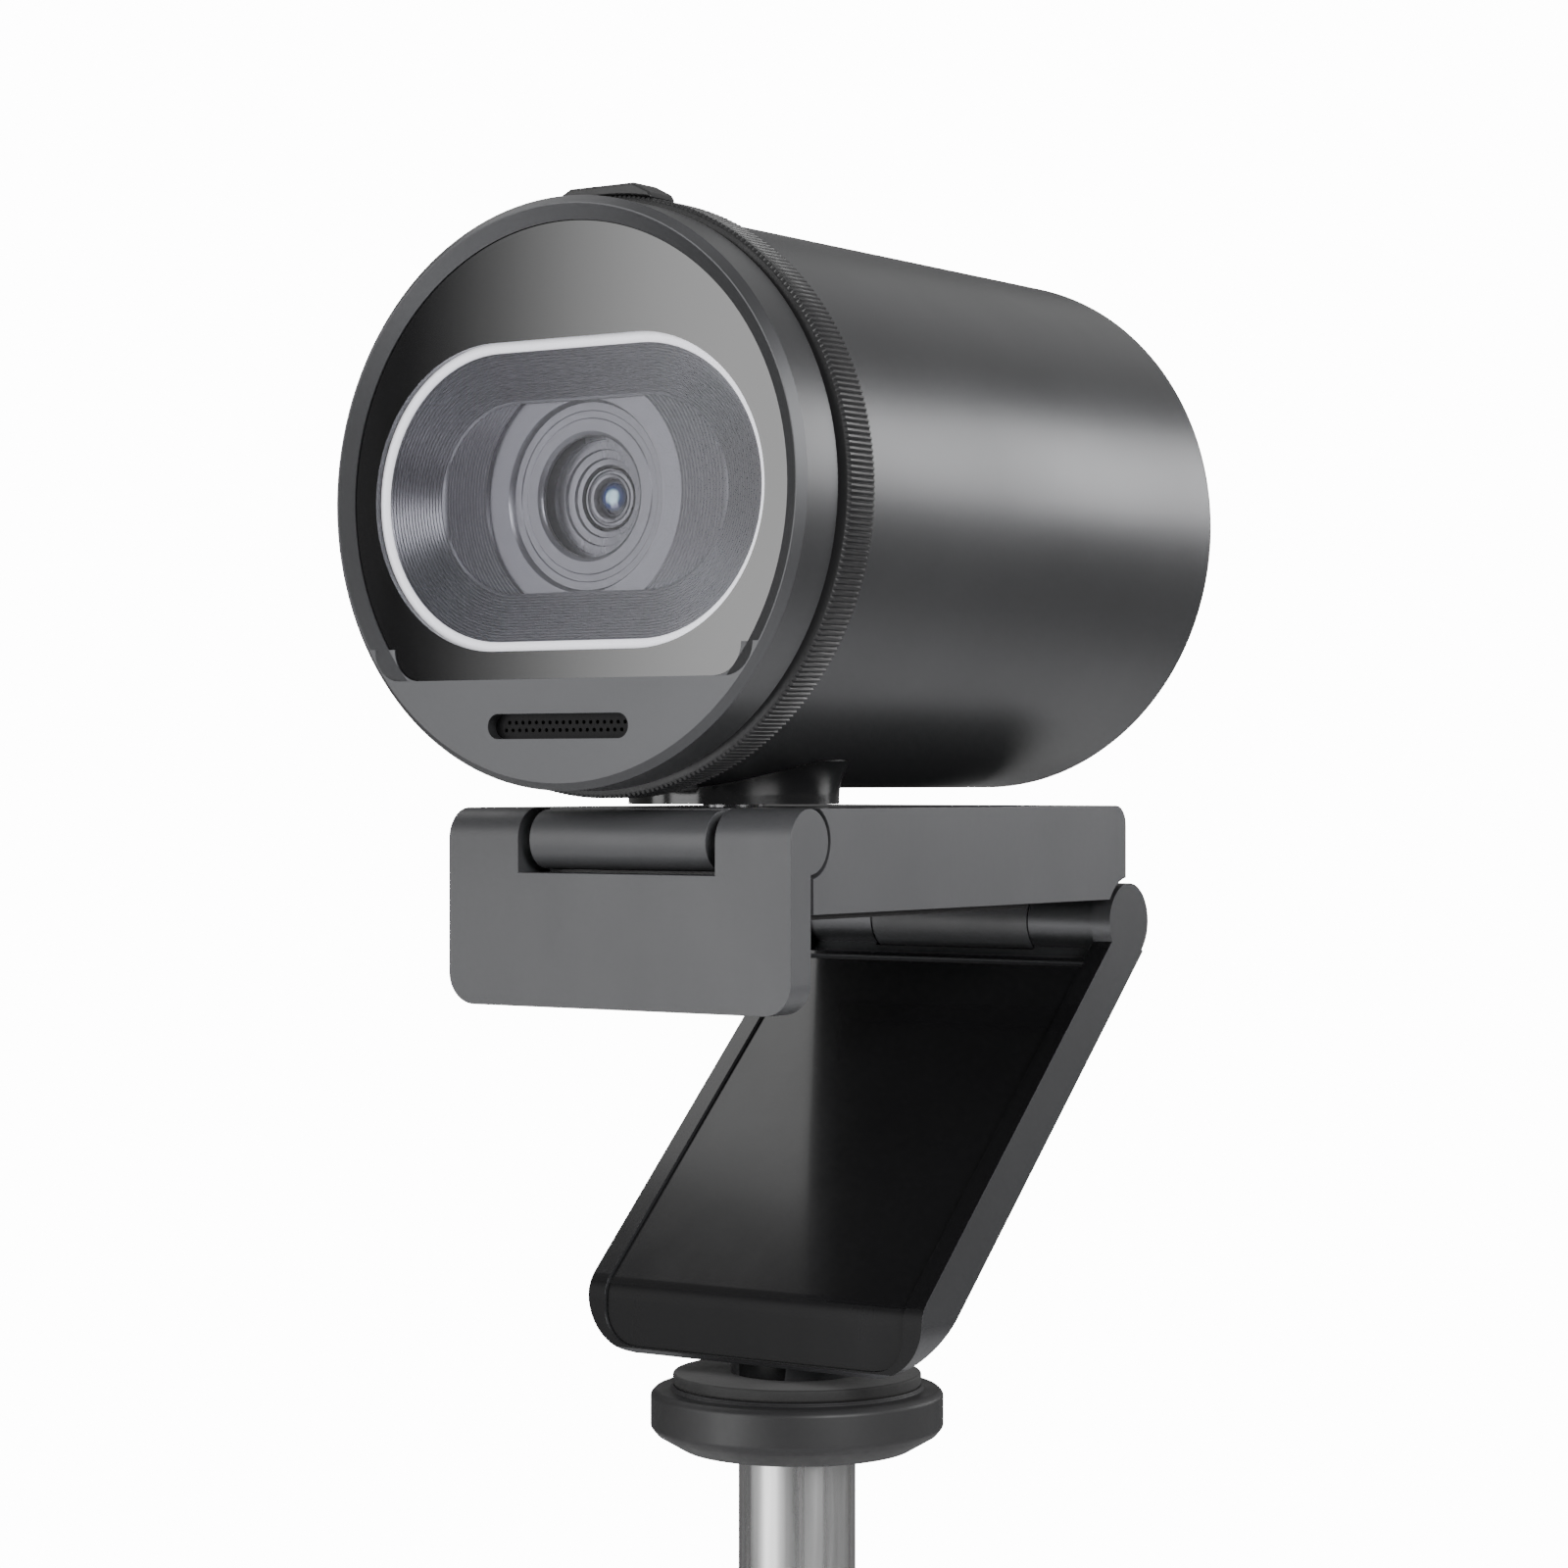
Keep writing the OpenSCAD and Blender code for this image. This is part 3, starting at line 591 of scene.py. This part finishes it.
def lens_front():
    """The small domed front element, and the stepped retaining ring round it."""
    dome_r, ring_r, pole, dome_rise, dome_cuts, thick = 1.7, 2.72, 0.02, 0.55, 8, 1.9
    dome = [(pole, LENS_DEPTH)]
    for step in range(1, dome_cuts + 1):
        radius = dome_r * step / dome_cuts
        dome.append((radius, LENS_DEPTH + dome_rise * (radius / dome_r) ** 2))
    dome += [(dome_r, LENS_DEPTH + thick), (pole, LENS_DEPTH + thick)]
    piece = new_piece("front_element", revolve(dome, 64), MATERIALS["lens_glass"], "head")
    sharpened(piece, 50)
    depth = LENS_DEPTH
    ring = [(dome_r + 0.02, depth + 0.75), (dome_r + 0.1, depth + 0.3), (dome_r + 0.25, depth + 0.1),
            (2.2, depth + 0.05), (2.3, depth + 0.2), (2.5, depth + 0.22), (2.6, depth + 0.02),
            (ring_r, depth), (ring_r, depth + 1.8), (dome_r + 0.02, depth + 1.8)]
    retainer = new_piece("lens_retainer", revolve(ring, 96), HOUSING, "head")
    sharpened(retainer, 30)
    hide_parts("front_lens")


# ---------- microphone slot ----------
def mic_grille():
    """A thin pill-shaped plate with two staggered rows of holes, in the slot under the window."""
    half_w, bottom, top, front, back = head_box("mic_mesh")
    centre_z, half_h = (bottom + top) / 2, (top - bottom) / 2
    columns, pitch, row_offset, hole_r, sides = 18, 0.78, 0.35, 0.2, 10
    shaped = bmesh.new()

    def outline(depth):
        return [shaped.verts.new(head_point(x, depth, z + centre_z))
                for x, z in stadium_outline(half_h, half_w - half_h, 10)]

    front_edges, back_edges = [], []
    for depth, edges in ((front, front_edges), (back, back_edges)):
        loop = outline(depth)
        edges += [shaped.edges.new((loop[i], loop[(i + 1) % len(loop)])) for i in range(len(loop))]
    holes = []
    around = [(hole_r * math.cos(2 * math.pi * i / sides), hole_r * math.sin(2 * math.pi * i / sides))
              for i in range(sides)]
    for column in range(columns):
        x = (column - (columns - 1) / 2) * pitch
        for z in (-row_offset, row_offset):
            x_here = x + math.copysign(pitch / 4, z)
            loops = []
            for depth, edges in ((front, front_edges), (back, back_edges)):
                loop = [shaped.verts.new(head_point(x_here + dx, depth, z + centre_z + dz))
                        for dx, dz in around]
                edges += [shaped.edges.new((loop[i], loop[(i + 1) % sides])) for i in range(sides)]
                loops.append(loop)
            holes.append(loops)
    bmesh.ops.triangle_fill(shaped, edges=front_edges, use_beauty=True)
    bmesh.ops.triangle_fill(shaped, edges=back_edges, use_beauty=True)
    for here, there in holes:
        for i in range(sides):
            shaped.faces.new((here[i], here[(i + 1) % sides], there[(i + 1) % sides], there[i]))
    rim = [edge for edge in shaped.edges if edge.is_boundary]
    bmesh.ops.bridge_loops(shaped, edges=rim)
    piece = new_piece("mic_grille", finished(shaped, "mic_grille"), TOE, "head", smooth=False)
    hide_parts("mic_mesh")


barrel_shell()
knurled_ring()
glass_window()
bright_ring()
reflector()
lens_front()
mic_grille()

SOFT_EDGES = {
    "front_bezel": 0.04, "neck": 0.1, "privacy_tab": 0.25, "rear_cap": 0.2, "arm": 0.5, "front_lip": 0.45,
    "arm_pad": 0.3, "lip_pad": 0.25, "top_disc": 0.25, "disc_pad": 0.25,
    "hub_upper": 0.25, "hub_lower": 0.25, "leg_back": 0.5, "leg_left": 0.5, "leg_right": 0.5,
    "bars_back": 0.15, "bars_left": 0.15, "bars_right": 0.15, "foot_back": 0.7, "foot_left": 0.7,
    "foot_right": 0.7, "mid_collar": 0.15, "low_collar": 0.15,
}
for node_name, edge_width in SOFT_EDGES.items():
    softened(node_name, edge_width)


def gloss_front(piece):
    """The leg's front is gloss like the panel and its upright toe is satin; the rest stays as it is."""
    piece.data.materials.append(MATERIALS["gloss_black"])
    piece.data.materials.append(TOE)
    slanted = Vector((0, -0.68, 0.73))
    upright = Vector((0, -1, 0))
    pin_low, pin_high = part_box("rear_pin")
    hinge = (pin_low + pin_high) / 2
    keep_clear = 5 * MM
    gloss_index, satin_index = 1, 2
    for polygon in piece.data.polygons:
        away = polygon.center - hinge
        away.x = 0
        if away.length < keep_clear:
            continue
        if polygon.normal.dot(upright) > 0.9:
            polygon.material_index = satin_index
        elif polygon.normal.dot(slanted) > 0.8:
            polygon.material_index = gloss_index


gloss_front(softened("clip_leg", 0.35))
gloss_front(softened("leg_panel", 0.2))


# ---------- stage, lights and camera ----------
def floor():
    """A round pale table top, large enough for the feet and their shadows."""
    shaped = bmesh.new()
    bmesh.ops.create_circle(shaped, cap_ends=True, segments=128, radius=0.9)
    mesh = bpy.data.meshes.new("floor")
    shaped.to_mesh(mesh)
    shaped.free()
    disc = bpy.data.objects.new("floor", mesh)
    bpy.context.collection.objects.link(disc)
    disc.location = (0, 0, -0.0005)
    paint = Nodes("floor_paint", (0.86, 0.86, 0.87), 0.7)
    paint.set("Base Color", paint.mix(paint.noise(3), (0.85, 0.85, 0.86), (0.88, 0.88, 0.885)))
    mesh.materials.append(paint.material)


HEAD = head_point(0, 35, -10)


def from_head(side, depth, height):
    """A point in metres from the middle of the head."""
    return HEAD + Vector((side, depth, height))


def glow_card(name, centre, width, height, strength, fade):
    """A soft light card that faces the head. Its brightness fades out towards its own +X edge."""
    mesh = bpy.data.meshes.new(name)
    corners = [(-width / 2, -height / 2, 0), (width / 2, -height / 2, 0),
               (width / 2, height / 2, 0), (-width / 2, height / 2, 0)]
    mesh.from_pydata(corners, [], [(0, 1, 2, 3)])
    card = bpy.data.objects.new(name, mesh)
    bpy.context.collection.objects.link(card)
    card.location = centre
    card.rotation_euler = (HEAD - centre).to_track_quat("Z", "Y").to_euler()
    material = bpy.data.materials.new(name)
    material.use_nodes = True
    tree = material.node_tree
    tree.nodes.clear()
    output = tree.nodes.new("ShaderNodeOutputMaterial")
    glow = tree.nodes.new("ShaderNodeEmission")
    coords = tree.nodes.new("ShaderNodeTexCoord")
    split = tree.nodes.new("ShaderNodeSeparateXYZ")
    ramp = tree.nodes.new("ShaderNodeMapRange")
    ramp.interpolation_type = "SMOOTHSTEP"
    ramp.inputs["From Min"].default_value = width / 2
    ramp.inputs["From Max"].default_value = width / 2 - fade * width
    ramp.inputs["To Max"].default_value = strength
    tree.links.new(coords.outputs["Object"], split.inputs[0])
    tree.links.new(split.outputs["X"], ramp.inputs["Value"])
    tree.links.new(ramp.outputs[0], glow.inputs["Strength"])
    tree.links.new(glow.outputs[0], output.inputs[0])
    mesh.materials.append(material)
    card.visible_camera = False


def card_round(name, bearing, distance, width, height, strength, fade):
    """A card level with the head. Its bearing in degrees is measured from the front towards -X."""
    turn = math.radians(bearing)
    centre = from_head(-distance * math.sin(turn), -distance * math.cos(turn), 0)
    glow_card(name, centre, width, height, strength, fade)


def area_light(name, centre, width, height, power):
    """A rectangular light that faces the head."""
    data = bpy.data.lights.new(name, "AREA")
    data.shape = "RECTANGLE"
    data.size = width
    data.size_y = height
    data.energy = power
    light = bpy.data.objects.new(name, data)
    bpy.context.collection.objects.link(light)
    light.location = centre
    light.rotation_euler = (HEAD - centre).to_track_quat("-Z", "Y").to_euler()


def backdrop_world():
    """White behind the object, and a dim even room in its reflections."""
    world = bpy.data.worlds.new("studio")
    bpy.context.scene.world = world
    world.use_nodes = True
    tree = world.node_tree
    tree.nodes.clear()
    output = tree.nodes.new("ShaderNodeOutputWorld")
    path = tree.nodes.new("ShaderNodeLightPath")
    mix = tree.nodes.new("ShaderNodeMixShader")
    tree.links.new(path.outputs["Is Camera Ray"], mix.inputs[0])
    room_strength, seen_strength = 0.16, 14.0
    for socket, strength in ((mix.inputs[1], room_strength), (mix.inputs[2], seen_strength)):
        background = tree.nodes.new("ShaderNodeBackground")
        background.inputs["Color"].default_value = (1, 1, 1, 1)
        background.inputs["Strength"].default_value = strength
        tree.links.new(background.outputs[0], socket)
    tree.links.new(mix.outputs[0], output.inputs[0])


def camera():
    """About level with the foot of the front ring, 35 degrees round from the front."""
    data = bpy.data.cameras.new("camera")
    data.sensor_width = 36
    data.lens = 86.2
    data.clip_start = 0.01
    obj = bpy.data.objects.new("camera", data)
    bpy.context.collection.objects.link(obj)
    turn, pitch = math.radians(34.59), math.radians(0.06)
    obj.location = head_point(210.0, -268.3, -26.0)
    ahead = Vector((-math.sin(turn) * math.cos(pitch), math.cos(turn) * math.cos(pitch), -math.sin(pitch)))
    obj.rotation_euler = ahead.to_track_quat("-Z", "Y").to_euler()
    bpy.context.scene.camera = obj


floor()
backdrop_world()
area_light("key", from_head(0.9, -0.35, 0.35), 0.5, 0.5, 11)
area_light("barrel_glow", from_head(0.5, 0.9, 0.25), 0.35, 0.34, 3.6)
area_light("barrel_upper", from_head(-0.1, 0.85, 0.62), 0.5, 0.4, 0.35)
area_light("top", from_head(0.1, 0.1, 1.0), 0.6, 0.6, 2)
area_light("left_fill", from_head(-0.7, -0.5, 0.1), 0.25, 0.4, 0.9)
card_round("face_card", 22, 1.0, 0.66, 1.2, 4.0, 0.2)
card_round("edge_card", 146, 1.1, 0.5, 1.2, 0.4, 0.5)
glow_card("panel_card", from_head(-0.62, 0.2, 0.8), 0.5, 0.7, 1.6, 0.3)
camera()

bpy.context.view_layer.update()
